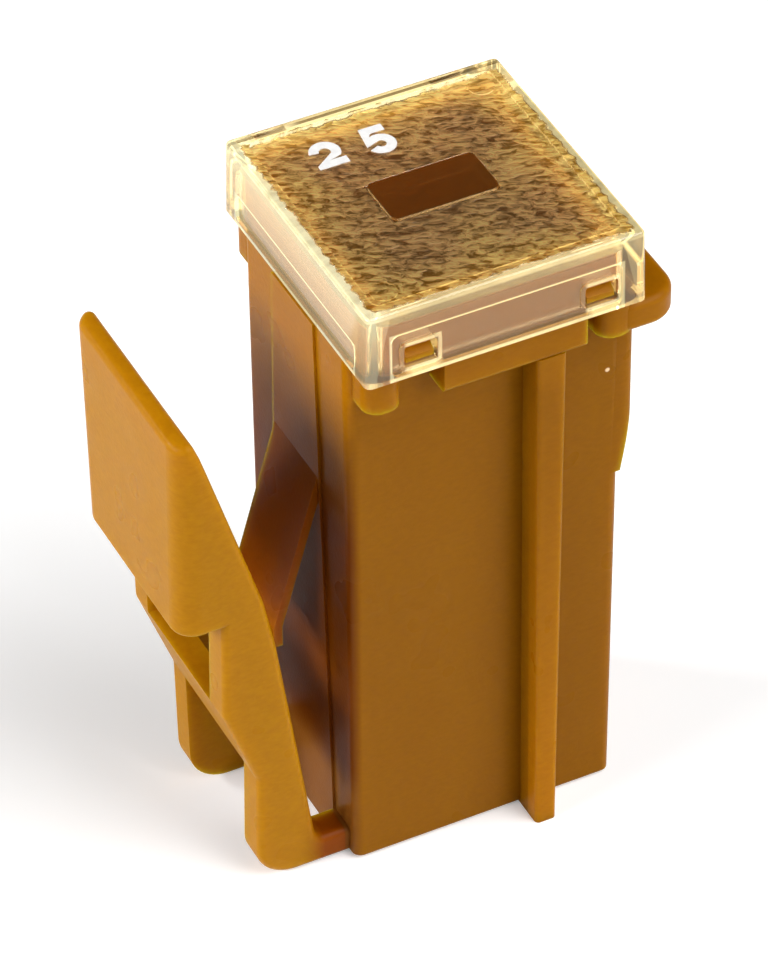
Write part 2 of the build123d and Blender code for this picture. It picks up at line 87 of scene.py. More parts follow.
# How far the field's edge strays, the ridge pattern's value in a groove and on a crest, and the roughness of
# the cover's plain and grained faces.
FIELD_TEETH = 0.14 * MM
GRAIN_SPAN = (0.39, 0.61)
COVER_ROUGHNESS = (0.07, 0.3)

# Strength of the painted glow, given as emission, in the rims, in the wedges at the corners, in the plainest
# places, and in the field's middle and at its edge, and the glow's colour in a groove and on a crest.
RIM_GLOW = 0.75
WEDGE_GLOW = 0.3
LEAST_GLOW = 0.05
FIELD_LIGHT = (0.19, 0.47)
LIT_GROOVE = (0.06, 0.03, 0.0)
LIT_CREST = (1.28, 0.82, 0.24)

# Noise scales. A larger one gives a finer pattern.
CLOUD_SCALE = 210.0
BLOOM_SCALE = 2600.0
TEETH_SCALE = 2400.0
PATCH_SCALE = 420.0
SWAY_SCALE = 260.0
BREAK_SCALE = 300.0
MOTTLE_SCALE = 500.0
TIN_CLOUD_SCALE = 700.0
TIN_SPECK_SCALE = 1500.0
FILM_SCALE = 2600.0
FLOOR_SCALE = 9.0

# Brightness of the ink's worn places and of the floor's darker ones, as shares of their own colour.
WORN_TONE = 0.86
FLOOR_TONE = 0.985

# The second numeral is drawn this much larger than the first.
SECOND_GROWTH = 1.1

# The floor lies this far under the fuse, so that the two don't share a plane.
FLOOR_GAP = 0.005 * MM

# The lights aim here. Each has its turn and rise in degrees, its side as a share of its distance, and the
# setting that holds its power.
LIGHT_AIM = Vector((0.0, 0.0, 12.0 * MM))
LIGHTS = (
    ("left_light", -92.0, 20.0, 0.57, "left_power"),
    ("back_light", -126.0, 23.0, 0.17, "back_power"),
    ("right_light", 42.0, 46.0, 0.86, "right_power"),
    ("front_light", 20.0, 32.0, 0.86, "front_power"),
)


# =============================================================================== settings
def colour_setting(name, description, default):
    """A colour that a user can change."""
    return bpy.props.FloatVectorProperty(
        name=name, description=description, default=default, size=3, min=0.0, max=1.0, subtype="COLOR"
    )


def length_setting(name, description, default, least=0.0):
    """A length that a user can change, no smaller than least."""
    return bpy.props.FloatProperty(
        name=name, description=description, default=default, min=least, precision=5, unit="LENGTH"
    )


def lengths_setting(name, description, default):
    """Two or three lengths that a user can change."""
    return bpy.props.FloatVectorProperty(
        name=name, description=description, default=default, size=len(default), precision=5, unit="LENGTH"
    )


def angle_setting(name, description, degrees):
    """An angle that a user can change, with its default in degrees."""
    return bpy.props.FloatProperty(
        name=name, description=description, default=math.radians(degrees), subtype="ANGLE"
    )


def share_setting(name, description, default):
    """A share from none to all that a user can change."""
    return bpy.props.FloatProperty(
        name=name, description=description, default=default, min=0.0, max=1.0, subtype="FACTOR"
    )


def power_setting(name, description, default):
    """A light's power that a user can change."""
    return bpy.props.FloatProperty(name=name, description=description, default=default, min=0.0, unit="POWER")


class FusePlasticSettings(bpy.types.PropertyGroup):
    """Colours and finish of the amber housing, with colours that paint light and shade on it."""

    colour: colour_setting("Amber", "Colour of the moulded housing", (0.262, 0.100, 0.0013))
    deep_colour: colour_setting(
        "Deep amber", "Colour of the darker flow clouds in the housing", (0.236, 0.086, 0.0011)
    )
    # Painted glow: the lever's amber, made paler to stand in for the light that passes through the thin lever.
    lever_colour: colour_setting(
        "Lever", "Colour of the thin latch lever, paler than the body", (0.385, 0.165, 0.0022)
    )
    # Painted light: the paler amber on the rib's foot, on the collar and on the top of the body's left side.
    rib_colour: colour_setting("Rib colour", "Colour of the foot of the front rib", (0.40, 0.150, 0.0016))
    # Painted shade: the red-brown of the lever's shadow on the body's face; also the darker tone of the random
    # bloom.
    shaded_colour: colour_setting(
        "Shaded colour", "Deep red-brown of the body's face behind the lever", (0.13, 0.028, 0.0004)
    )
    # Painted shade: the red-brown of the lever's shadow on the thin sloping stop.
    stop_colour: colour_setting(
        "Stop colour", "Red-brown of the thin sloping stop behind the lever", (0.22, 0.047, 0.0006)
    )
    # Painted light: the paler brown where light reaches the foot of the body's face under the lever.
    foot_colour: colour_setting(
        "Foot colour", "Paler brown of the foot of the body's face behind the lever", (0.19, 0.066, 0.008)
    )
    mark_colour: colour_setting("Mark colour", "Colour of the small moulding mark", (0.9, 0.62, 0.36))
    mark_place: lengths_setting(
        "Mark place",
        "Place of the small pale moulding mark on the body's front",
        (5.385 * MM, -4.575 * MM, 22.5 * MM),
    )
    mark_size: length_setting("Mark size", "Radius of the moulding mark", 0.17 * MM)
    glow_depth: length_setting("Glow depth", "How far light travels inside the housing's plastic", 3.0 * MM)
    glow_share: share_setting("Glow share", "Share of light that goes into the housing's plastic", 0.38)
    roughness: share_setting("Roughness", "Roughness of the moulded faces", 0.3)


class FuseCoverSettings(bpy.types.PropertyGroup):
    """Tints, grain and painted glow of the clear cover."""

    tint: colour_setting("Tint", "Colour of the clear cover's borders and edges", (1.0, 0.91, 0.56))
    panel_tint: colour_setting(
        "Panel tint",
        "Colour of the thinner skirt panels, with the housing's neck close behind",
        (0.95, 0.63, 0.28),
    )
    # Painted shade: the clear sight window is tinted deep amber-brown for the dark chamber behind it.
    sight_tint: colour_setting(
        "Sight tint", "Colour of the sight window, with the dark chamber behind it", (0.42, 0.13, 0.02)
    )
    # Painted light and shade on the grain: paler crests and darker grooves; near the field's edge both turn
    # golden as painted glow.
    groove_colour: colour_setting("Grooves", "Colour of the grain's grooves", (0.22, 0.10, 0.04))
    crest_colour: colour_setting("Crests", "Colour of the grain's crests", (1.0, 0.61, 0.32))
    edge_groove_colour: colour_setting(
        "Edge grooves", "Colour of the grain's grooves near the field's edge", (0.50, 0.24, 0.02)
    )
    edge_crest_colour: colour_setting(
        "Edge crests", "Colour of the grain's crests near the field's edge", (1.0, 0.80, 0.22)
    )
    streak_colour: colour_setting("Streak", "Colour of the dark line along the back border", (0.16, 0.10, 0.03))
    # Painted glow: colours of the emitted light in the cover's borders.
    cream: colour_setting("Cream", "Colour of the light in the cover's borders", (1.0, 0.85, 0.42))
    left_cream: colour_setting("Left cream", "Colour of that light on the cover's left", (0.95, 0.96, 0.64))
    clarity: share_setting("Clarity", "Share of light that passes through the cover", 0.91)
    # Painted glow: the cover's emission strength, standing in for the light that the clear plastic carries to
    # its borders.
    edge_glow: share_setting(
        "Edge glow", "Strength of the light that the clear plastic carries to its borders", 0.6
    )
    field_borders: lengths_setting(
        "Field borders",
        "Widths of the plain border beside, before and behind the grained field",
        (0.45 * MM, 0.4 * MM, 0.8 * MM),
    )
    # Painted glow: how far the golden, emitting rim of the grained field reaches inwards.
    field_glow: length_setting(
        "Field glow", "How far the golden rim of the grained field reaches inwards", 2.6 * MM, 0.1 * MM
    )
    grain_pitch: length_setting(
        "Grain pitch", "Distance between two ridges of the field's grain", 0.21 * MM, 0.05 * MM
    )
    grain_height: length_setting("Grain height", "Height of the ridges of the field's grain", 0.12 * MM)
    grain_turn: angle_setting("Grain turn", "Direction of the ridges, from the cover's wide side", -24.0)
    sight_size: lengths_setting(
        "Sight window", "Width and depth of the smooth sight window", (4.75 * MM, 2.55 * MM)
    )
    rim_width: length_setting(
        "Rim width",
        "Width of the bright rims round the skirt panels and the snap windows",
        0.17 * MM,
        0.01 * MM,
    )
    window_size: lengths_setting(
        "Snap windows", "Width and height over the rim of a snap window", (1.84 * MM, 1.39 * MM)
    )
    window_places: lengths_setting(
        "Window places", "Places of the two snap windows along the skirt", (-3.75 * MM, 4.15 * MM)
    )
    window_rise: length_setting(
        "Window rise", "From the cover's foot to the middle of a snap window", 0.975 * MM
    )
    panel_margin: length_setting("Panel margin", "From the cover's corner to a skirt panel", 1.1 * MM)
    panel_heights: lengths_setting(
        "Panel heights",
        "Top of the broad and of the narrow skirt panels over the cover's foot",
        (2.2 * MM, 1.45 * MM),
    )


class FuseMetalSettings(bpy.types.PropertyGroup):
    """Colours and finish of the element and its pellet."""

    strip_colour: colour_setting("Tinned strip", "Colour of the tinned element", (0.60, 0.58, 0.53))
    strip_cloud: colour_setting("Strip clouds", "Colour of the element's duller clouds", (0.42, 0.38, 0.32))
    strip_roughness: share_setting("Strip roughness", "Roughness of the tinned element", 0.32)
    pellet_colour: colour_setting("Pellet", "Colour of the tin pellet", (0.50, 0.50, 0.52))
    pellet_cloud: colour_setting("Pellet clouds", "Colour of the pellet's duller clouds", (0.36, 0.36, 0.37))
    pellet_roughness: share_setting("Pellet roughness", "Roughness of the tin pellet", 0.45)


class FuseRatingSettings(bpy.types.PropertyGroup):
    """Size and place of the two printed numerals."""

    ink: colour_setting("Ink", "Colour of the printed numerals", (0.93, 0.92, 0.90))
    height: length_setting("Height", "Height of a numeral", 1.62 * MM, 0.1 * MM)
    width: length_setting("Width", "Width of a numeral", 1.3 * MM, 0.1 * MM)
    stroke: length_setting("Stroke", "Width of a numeral's stroke", 0.4 * MM, 0.05 * MM)
    pitch: length_setting("Pitch", "Distance from one numeral to the next", 2.08 * MM, 0.1 * MM)
    left: length_setting("Left", "Place of the first numeral's left side", -3.45 * MM, -1.0)
    foot: length_setting("Foot", "Place of the numerals' foot line", 2.98 * MM, -1.0)
    ink_thickness: length_setting(
        "Ink thickness", "How far the ink stands on the field", 0.03 * MM, 0.001 * MM
    )
    field_depth: length_setting("Field depth", "How far the field lies under the cover's top", 0.12 * MM)


class FuseStudioSettings(bpy.types.PropertyGroup):
    """Floor, lights and camera."""

    floor_colour: colour_setting("Floor", "Colour of the floor", (0.90, 0.90, 0.90))
    floor_size: length_setting("Floor size", "Side of the square floor", 1.6, 0.1)
    floor_lift: bpy.props.FloatProperty(
        name="Floor lift", description="How much paler the camera sees the floor", default=0.25, min=0.0
    )
    sky_strength: bpy.props.FloatProperty(
        name="Sky", description="Strength of the even light from all round", default=0.0, min=0.0
    )
    light_distance: length_setting("Light distance", "From the object to each soft light", 0.8, 0.1)
    left_power: power_setting("Left light", "Power of the soft light at the left", 5.3)
    back_power: power_setting("Back light", "Power of the small light behind, left", 2.65)
    right_power: power_setting("Right light", "Power of the large light in front, right", 6.9)
    front_power: power_setting("Front light", "Power of the large light in front", 2.0)
    azimuth: angle_setting("Azimuth", "Camera's turn round the object, from the front to the right", -26.226)
    elevation: angle_setting("Elevation", "Camera's height as an angle", 41.058)
    roll: angle_setting("Roll", "Camera's roll", -0.554)
    distance: length_setting("Distance", "From the aim to the camera", 245.17 * MM, 0.01)
    aim: lengths_setting(
        "Aim", "Point that the camera looks at", (-1.0656 * MM, 2.4632 * MM, 13.624 * MM)
    )
    lens: bpy.props.FloatProperty(
        name="Lens", description="Focal length in millimetres", default=222.13, min=1.0
    )


SETTINGS = (
    ("fuse_plastic", FusePlasticSettings),
    ("fuse_cover", FuseCoverSettings),
    ("fuse_metal", FuseMetalSettings),
    ("fuse_rating", FuseRatingSettings),
    ("fuse_studio", FuseStudioSettings),
)


# ========================================================================= material helpers
class Shades:
    """A short way to write a node tree: each call adds nodes, sets their values and links their inputs."""

    def __init__(self, tree):
        self.tree = tree

    def add(self, kind, inputs=None, **values):
        """A new node with these values set and these inputs fed."""
        node = self.tree.nodes.new(kind)
        for name, value in values.items():
            setattr(node, name, value)
        for name, value in (inputs or {}).items():
            self.feed(node.inputs[name], value)
        return node

    def feed(self, socket, value):
        """Links another node's output to the socket, or sets the socket to a plain value."""
        if isinstance(value, bpy.types.NodeSocket):
            self.tree.links.new(value, socket)
        elif isinstance(socket.default_value, (float, int)):
            socket.default_value = value
        elif len(socket.default_value) == 4 and len(value) == 3:
            socket.default_value = (*value, 1.0)
        else:
            socket.default_value = value

    def group(self, maker, inputs):
        """A node of the shared group that maker builds. The group is built once and has its maker's name."""
        tree = bpy.data.node_groups.get(maker.__name__) or maker()
        return self.add("ShaderNodeGroup", inputs, node_tree=tree)

    def maths(self, operation, first, second=0.0, clamp=False):
        node = self.add("ShaderNodeMath", {0: first, 1: second}, operation=operation, use_clamp=clamp)
        return node.outputs[0]

    def either(self, first, second):
        """The larger of two masks."""
        return self.maths("MAXIMUM", first, second)

    def both(self, first, second):
        """The product of two masks."""
        return self.maths("MULTIPLY", first, second)

    def without(self, mask):
        """1 where the mask is 0, and 0 where it is 1."""
        return self.maths("SUBTRACT", 1.0, mask)

    def size_of(self, value):
        """The value without its sign."""
        return self.maths("ABSOLUTE", value)

    def remap(self, value, low, high, to_low=0.0, to_high=1.0):
        """A value from to_low to to_high as the given one goes from low to high, and level beyond them."""
        spans = {"Value": value, "From Min": low, "From Max": high, "To Min": to_low, "To Max": to_high}
        return self.add("ShaderNodeMapRange", spans, clamp=True).outputs["Result"]

    def mix(self, factor, first, second):
        """The first colour where the factor is 0 and the second where it is 1."""
        return self.add("ShaderNodeMix", {0: factor, 6: first, 7: second}, data_type="RGBA").outputs[2]

    def noise(self, vector, scale, detail=3.0, roughness=0.5, distortion=0.0):
        inputs = {
            "Vector": vector,
            "Scale": scale,
            "Detail": detail,
            "Roughness": roughness,
            "Distortion": distortion,
        }
        return self.add("ShaderNodeTexNoise", inputs).outputs[0]

    def bump(self, strength, distance, height):
        """A normal that leans as a surface of this height would."""
        inputs = {"Strength": strength, "Distance": distance, "Height": height}
        return self.add("ShaderNodeBump", inputs).outputs[0]

    def place(self):
        """The place on the object, in its own axes."""
        return self.add("ShaderNodeTexCoord").outputs["Object"]

    def axes(self, place):
        return self.add("ShaderNodeSeparateXYZ", {"Vector": place}).outputs

    def stretched(self, vector, scale):
        return self.add("ShaderNodeMapping", {"Vector": vector, "Scale": scale}).outputs[0]

    def moved(self, vector, shift):
        return self.add("ShaderNodeVectorMath", {0: vector, 1: shift}, operation="ADD").outputs[0]

    def laid(self, vector, turn, size):
        """Places along axes that are turned about Z, measured in units of size."""
        inputs = {"Vector": vector, "Rotation": (0.0, 0.0, turn), "Scale": size}
        return self.add("ShaderNodeMapping", inputs, vector_type="TEXTURE").outputs[0]

    def within(self, gap, half_width, edge):
        """1 where a gap is less than half_width and 0 beyond it, softened over edge."""
        return self.remap(gap, half_width - edge, half_width + edge, 1.0, 0.0)

    def band(self, value, low, high, edge):
        """1 where value lies between low and high and 0 elsewhere, softened over edge."""
        return self.both(self.remap(value, low - edge, low + edge), self.within(value, high, edge))

    def near(self, place, centre, reach):
        """1 within reach of centre and 0 beyond it."""
        node = self.add("ShaderNodeVectorMath", {0: place, 1: centre}, operation="DISTANCE")
        return self.remap(node.outputs["Value"], 0.8 * reach, reach, 1.0, 0.0)

    def frame(self, across, half_width, height, low, high, line, edge):
        """1 on a rectangular outline |across| < half_width, low < height < high, line wide, and 0 elsewhere."""
        gap = self.size_of(across)
        outer = self.both(self.within(gap, half_width, edge), self.band(height, low, high, edge))
        inner = self.both(
            self.within(gap, half_width - line, edge), self.band(height, low + line, high - line, edge)
        )
        return self.maths("SUBTRACT", outer, inner, clamp=True)

    def inside(self, place, half_x, half_y, edge):
        """1 inside the upright prism |x| < half_x, |y| < half_y and 0 outside, softened over edge."""
        x, y, _ = self.axes(place)
        across = self.within(self.size_of(x), half_x, edge)
        along = self.within(self.size_of(y), half_y, edge)
        return self.both(across, along)


def new_group(name, inputs, outputs):
    """An empty shader group with named sockets, given as (name, kind) pairs, and its two end nodes."""
    group = bpy.data.node_groups.new(name, "ShaderNodeTree")
    for socket, kind in inputs:
        group.interface.new_socket(name=socket, in_out="INPUT", socket_type="NodeSocket" + kind)
    for socket, kind in outputs:
        group.interface.new_socket(name=socket, in_out="OUTPUT", socket_type="NodeSocket" + kind)
    shades = Shades(group)
    return shades, shades.add("NodeGroupInput").outputs, shades.add("NodeGroupOutput").inputs


def clouded_colour():
    """Group: two colours mixed by soft clouds, for the moulded and rolled surfaces."""
    shades, given, out = new_group(
        "clouded_colour",
        (("Place", "Vector"), ("Colour", "Color"), ("Cloud Colour", "Color"), ("Cloud Scale", "Float")),
        (("Colour", "Color"),),
    )
    cloud = shades.noise(given["Place"], given["Cloud Scale"], detail=4.0, roughness=0.55, distortion=0.3)
    thickness = shades.remap(cloud, 0.2, 0.85)
    shades.feed(out["Colour"], shades.mix(thickness, given["Colour"], given["Cloud Colour"]))
    return shades.tree


def specked_colour():
    """Group: a colour with sparse specks, each in the middle of a random cell and softer towards its edge."""
    shades, given, out = new_group(
        "specked_colour",
        (
            ("Place", "Vector"),
            ("Colour", "Color"),
            ("Speck Colour", "Color"),
            ("Speck Scale", "Float"),
            ("Speck Size", "Float"),
        ),
        (("Colour", "Color"),),
    )
    cells = shades.add(
        "ShaderNodeTexVoronoi", {"Vector": given["Place"], "Scale": given["Speck Scale"]}, feature="F1"
    )
    draw = shades.add("ShaderNodeSeparateColor", {"Color": cells.outputs["Color"]}).outputs[0]
    chosen = shades.remap(draw, 0.86, 0.9)
    near = shades.remap(cells.outputs["Distance"], 0.0, given["Speck Size"], 1.0, 0.0)
    specks = shades.both(near, chosen)
    shades.feed(out["Colour"], shades.mix(specks, given["Colour"], given["Speck Colour"]))
    return shades.tree


def fine_grain():
    """Group: a height of fine grain over slow waves, for a moulded face's bloom or a rolled metal's skin."""
    shades, given, out = new_group(
        "fine_grain",
        (("Place", "Vector"), ("Grain Scale", "Float"), ("Wave Scale", "Float"), ("Wave Share", "Float")),
        (("Height", "Float"), ("Sheen Change", "Float")),
    )
    grain = shades.noise(given["Place"], given["Grain Scale"], detail=2.0, roughness=0.6)
    wave = shades.noise(given["Place"], given["Wave Scale"], detail=2.0)
    share = shades.both(wave, given["Wave Share"])
    shades.feed(out["Height"], shades.maths("ADD", grain, share))
    shades.feed(out["Sheen Change"], shades.remap(wave, 0.3, 0.7, -0.04, 0.05))
    return shades.tree


def new_material(name):
    """A material with a Principled shader: returns it, its Shades and the shader node."""
    material = bpy.data.materials.new(name)
    material.use_nodes = True
    material.node_tree.nodes.clear()
    shades = Shades(material.node_tree)
    shader = shades.add("ShaderNodeBsdfPrincipled")
    end = shades.add("ShaderNodeOutputMaterial")
    shades.feed(end.inputs["Surface"], shader.outputs[0])
    return material, shades, shader


def give_material(node_name, material):
    """Puts one material in all the slots of a CAD node."""
    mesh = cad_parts[node_name].data
    for index in range(len(mesh.materials)):
        mesh.materials[index] = material
    if not mesh.materials:
        mesh.materials.append(material)


# =============================================================================== materials
def amber_zones(shades, settings, place, body_colour):
    """The amber's tones: a paler lever, collar and rib foot as painted light, and a red-brown face and stop
    behind the lever as painted shade.
    """
    x, y, z = shades.axes(place)

    def rise(span, start=0.0, end=1.0):
        """From start to end as the place goes up a span of the housing's height."""
        return shades.remap(z, span[0] * HOUSING_HIGH.z, span[1] * HOUSING_HIGH.z, start, end)

    lean = shades.remap(z, LEAN_START_Z, LEAN_END_Z, 0.0, LEVER_LEAN)
    inward = shades.maths("ADD", x, lean)
    on_lever = shades.within(inward, LEVER_X, LEVER_EDGE)
    behind_lever = shades.both(
        shades.remap(inward, LEVER_X - STOP_EDGE, LEVER_X + STOP_EDGE),
        shades.remap(x, SIDE_X + 0.12 * MM, SIDE_X + 0.5 * MM, 1.0, 0.0),
    )

    # Painted shade behind the lever: red-brown on the stop and on the body's face, with painted light on the
    # face's foot, fading out upwards.
    on_face = shades.remap(x, SIDE_X - 0.1 * MM, SIDE_X)
    foot = shades.both(on_face, shades.remap(z, *LIT_FOOT_FADE_Z, 1.0, 0.0))
    shaded = shades.mix(on_face, settings.stop_colour, settings.shaded_colour)
    shaded = shades.mix(foot, shaded, settings.foot_colour)
    low = rise(SHADE_FADE, 1.0, 0.0)
    tone_with_painted_light = shades.mix(shades.both(behind_lever, low), body_colour, shaded)
    # Painted glow: the lever takes its paler colour.
    tone_with_painted_light = shades.mix(on_lever, tone_with_painted_light, settings.lever_colour)

    # Painted light: paler amber on the rib's foot, on the collar, and on the top of the body's left side above
    # the painted shade.
    front = HOUSING_LOW.y + PROUD_DEPTH
    proud = shades.remap(y, front - 0.1 * MM, front, 1.0, 0.0)
    lit_rib_foot = shades.both(proud, rise(RIB_LIGHT_FADE, 0.9, 0.0))
    collar = rise(COLLAR_LIGHT_RISE, 0.0, 0.25)
    lit_side_top = shades.both(behind_lever, rise(SIDE_TOP_LIGHT_RISE, 0.0, 0.75))
    pale = shades.either(lit_rib_foot, shades.either(collar, lit_side_top))
    return shades.mix(pale, tone_with_painted_light, settings.rib_colour)


def amber_plastic(settings):
    """Waxy amber nylon: light goes some way into it, so that thin parts glow. Its tones differ by zone, and
    some zones carry painted light and shade.
    """
    material, shades, shader = new_material("amber_plastic")
    place = shades.place()
    clouded = shades.group(
        clouded_colour,
        {
            "Place": shades.stretched(place, (1.0, 1.0, 0.35)),
            "Colour": settings.colour,
            "Cloud Colour": settings.deep_colour,
            "Cloud Scale": CLOUD_SCALE,
        },
    )
    tone_with_painted_light = amber_zones(shades, settings, place, clouded.outputs["Colour"])
    bloom = shades.noise(shades.stretched(place, (1.0, 1.0, 2.2)), BLOOM_SCALE, detail=2.0, roughness=0.6)
    # Random bloom: the painted shade colour, used here only as a darker tone that varies at random.
    tone_with_painted_light = shades.mix(shades.remap(bloom, 0.3, 0.7, 0.0, 0.16), tone_with_painted_light, settings.shaded_colour)
    mark = shades.near(place, settings.mark_place, settings.mark_size)
    tone_with_painted_light = shades.mix(mark, tone_with_painted_light, settings.mark_colour)

    grain = shades.group(
        fine_grain, {"Place": place, "Grain Scale": 7000.0, "Wave Scale": 320.0, "Wave Share": 0.8}
    )
    roughness = shades.maths("ADD", grain.outputs["Sheen Change"], settings.roughness)
    shades.feed(shader.inputs["Base Color"], tone_with_painted_light)
    shades.feed(shader.inputs["Roughness"], roughness)
    shades.feed(shader.inputs["Normal"], shades.bump(0.35, 0.02 * MM, grain.outputs["Height"]))
    shader.inputs["Subsurface Weight"].default_value = settings.glow_share
    shader.inputs["Subsurface Radius"].default_value = GLOW_REACH
    shader.inputs["Subsurface Scale"].default_value = settings.glow_depth
    shader.inputs["IOR"].default_value = PLASTIC_IOR
    shader.inputs["Specular IOR Level"].default_value = 0.06
    return material


class CoverShades:
    """Masks of the clear cover's zones and of the painted glow in it, worked out from the place on it."""

    def __init__(self, shades, settings):
        self.shades, self.settings = shades, settings
        self.size = COVER_HIGH - COVER_LOW
        self.place = shades.place()
        self.x, self.y, self.z = shades.axes(self.place)
        self.across = shades.size_of(self.x)
        self.along = shades.size_of(self.y)
        wall_x, wall_y = self.size.x / 2 - COVER_SKIN, self.size.y / 2 - COVER_SKIN
        self.facing_x = shades.remap(self.across, wall_x, wall_x + 0.05 * MM)
        self.facing_y = shades.remap(self.along, wall_y, wall_y + 0.05 * MM)
        self.on_top = shades.remap(self.z, COVER_HIGH.z - 0.3 * MM, COVER_HIGH.z - 0.2 * MM)
        self.leftward = shades.remap(self.x, -0.45 * self.size.x, -0.38 * self.size.x, 1.0, 0.0)

    def field(self):
        """The ragged field of the top, and how near to its edge a place is."""
        shades, reach = self.shades, self.settings.field_glow
        side, front, back = self.settings.field_borders
        half_x, half_y = self.size.x / 2 - side, self.size.y / 2 - (front + back) / 2
        shift = (back - front) / 2
        teeth = shades.noise(self.place, TEETH_SCALE, detail=2.0)
        teeth = shades.remap(teeth, 0.2, 0.8, -FIELD_TEETH, FIELD_TEETH)
        ragged = shades.moved(shades.moved(self.place, (0.0, shift, 0.0)), teeth)
        field = shades.inside(ragged, half_x, half_y, 0.05 * MM)

        near_x = shades.remap(self.across, half_x - reach, half_x)
        off_middle = shades.size_of(shades.maths("ADD", self.y, shift))
        near_y = shades.remap(off_middle, half_y - reach, half_y)
        patches = shades.noise(self.place, PATCH_SCALE, detail=2.0)
        patches = shades.remap(patches, 0.3, 0.7, -0.25, 0.25)
        return field, shades.maths("ADD", shades.either(near_x, near_y), patches, clamp=True)

    def sight(self):
        """The smooth sight window in the middle of the field."""
        width, depth = self.settings.sight_size
        return self.shades.inside(self.place, width / 2, depth / 2, 0.04 * MM)

    def ridges(self):
        """Height of the field's grain: short swaying ridges along one direction."""
        shades, pitch = self.shades, self.settings.grain_pitch
        turned = shades.laid(self.place, self.settings.grain_turn, (2.3 * pitch, pitch, 5.0 * pitch))
        sway = shades.noise(self.place, SWAY_SCALE, detail=1.0)
        swayed = shades.moved(turned, shades.both(sway, 3.0))
        return shades.noise(swayed, 0.9, detail=3.5, roughness=0.62, distortion=0.6)

    def walls(self):
        """For the broad and the narrow skirt walls: the axis along the wall, the distance from its middle,
        half the panel's width, the panel's height and the mask of the wall."""
        broad_top, narrow_top = self.settings.panel_heights
        margin = self.settings.panel_margin
        return (
            (self.x, self.across, self.size.x / 2 - margin, broad_top, self.facing_y),
            (self.y, self.along, self.size.y / 2 - margin, narrow_top, self.facing_x),
        )

    def panels(self):
        """The thinner panels of the skirt."""
        shades, foot, rim = self.shades, COVER_LOW.z, self.settings.rim_width
        found = []
        for _, gap, half_width, top, facing in self.walls():
            wide = shades.remap(gap, half_width, half_width + SHARP, 1.0, 0.0)
            panel = shades.both(wide, shades.band(self.z, foot + rim, foot + top, SHARP))
            found.append(shades.both(panel, facing))
        return shades.either(*found)

    def rims(self):
        """Painted highlights: the bright rims round the panels and, open on the left, round the snap windows.
        """
        shades, foot, rim = self.shades, COVER_LOW.z, self.settings.rim_width
        found = []
        for axis, _, half_width, top, facing in self.walls():
            outline = shades.frame(axis, half_width + rim / 2, self.z, foot, foot + top + rim / 2, rim, SHARP)
            found.append(shades.both(outline, facing))
        lines = shades.either(*found)
        width = self.settings.window_size[0]
        sill, head = self.window_span()
        for centre in self.settings.window_places:
            shift = shades.maths("SUBTRACT", self.x, centre)
            outline = shades.frame(shift, width / 2, self.z, sill, head, rim, SHARP)
            open_side = shades.remap(shift, rim - width / 2, 2 * rim - width / 2)
            lines = shades.either(lines, shades.both(shades.both(outline, open_side), self.facing_y))
        return lines

    def window_span(self):
        """Heights of the snap windows' lower and upper rims."""
        middle = COVER_LOW.z + self.settings.window_rise
        height = self.settings.window_size[1]
        return middle - height / 2, middle + height / 2

    def gleam(self):
        """Painted highlights: the brightest spots, on the sill of each snap window and on the cover's foot
        under it.
        """
        shades, foot, rim = self.shades, COVER_LOW.z, self.settings.rim_width
        width = self.settings.window_size[0]
        sill, _ = self.window_span()
        on_sill = shades.band(self.z, sill - 0.1 * MM, sill + rim, SHARP)
        bright = shades.either(on_sill, shades.band(self.z, foot, foot + rim, SHARP))
        found = []
        for centre in self.settings.window_places:
            shift = shades.maths("SUBTRACT", self.x, centre)
            under = shades.band(shift, -0.3 * width, 0.45 * width, 0.2 * MM)
            found.append(shades.both(shades.both(under, bright), self.facing_y))
        return shades.either(*found)

    def back_streak(self):
        """The broken dark line along the back border."""
        shades, edge = self.shades, self.size.y / 2
        line = shades.band(self.y, edge - 0.52 * MM, edge - 0.34 * MM, 0.02 * MM)
        breaks = shades.remap(shades.noise(self.place, BREAK_SCALE, detail=1.0), 0.35, 0.45, 0.2, 1.0)
        return shades.both(line, breaks)

    def border_glow(self, field, streak):
        """Painted glow in the plain border of the top: mottled, strongest at the left and weaker at the back.
        """
        shades, edge = self.shades, self.size.y / 2
        mottle = shades.noise(shades.stretched(self.place, (1.0, 3.0, 1.0)), MOTTLE_SCALE, roughness=0.6)
        mottle = shades.remap(mottle, 0.3, 0.7, 0.7, 1.25)
        strength = shades.both(mottle, shades.remap(self.leftward, 0.0, 1.0, 0.7, 0.93))
        strength = shades.both(strength, shades.without(streak))
        strength = shades.both(strength, shades.remap(self.y, edge - 0.9 * MM, edge - 0.7 * MM, 1.0, 0.5))
        return shades.both(shades.both(self.on_top, shades.without(field)), strength)

    def wall_glow(self):
        """Painted glow in the skirt: in wedges at its upright corners, and over the whole left wall."""
        shades, foot = self.shades, COVER_LOW.z
        taper = shades.remap(self.z, foot, COVER_HIGH.z, 0.0, 0.75 * MM)
        past = shades.maths("SUBTRACT", shades.maths("ADD", self.across, taper), self.size.x / 2 - 0.4 * MM)
        wedge = shades.both(shades.remap(past, 0.0, 0.06 * MM), self.facing_y)
        rising = shades.remap(self.z, foot, COVER_HIGH.z, 0.2, 0.55)
        left_wall = shades.both(shades.both(self.facing_x, self.leftward), rising)
        return shades.either(shades.both(wedge, WEDGE_GLOW), left_wall)


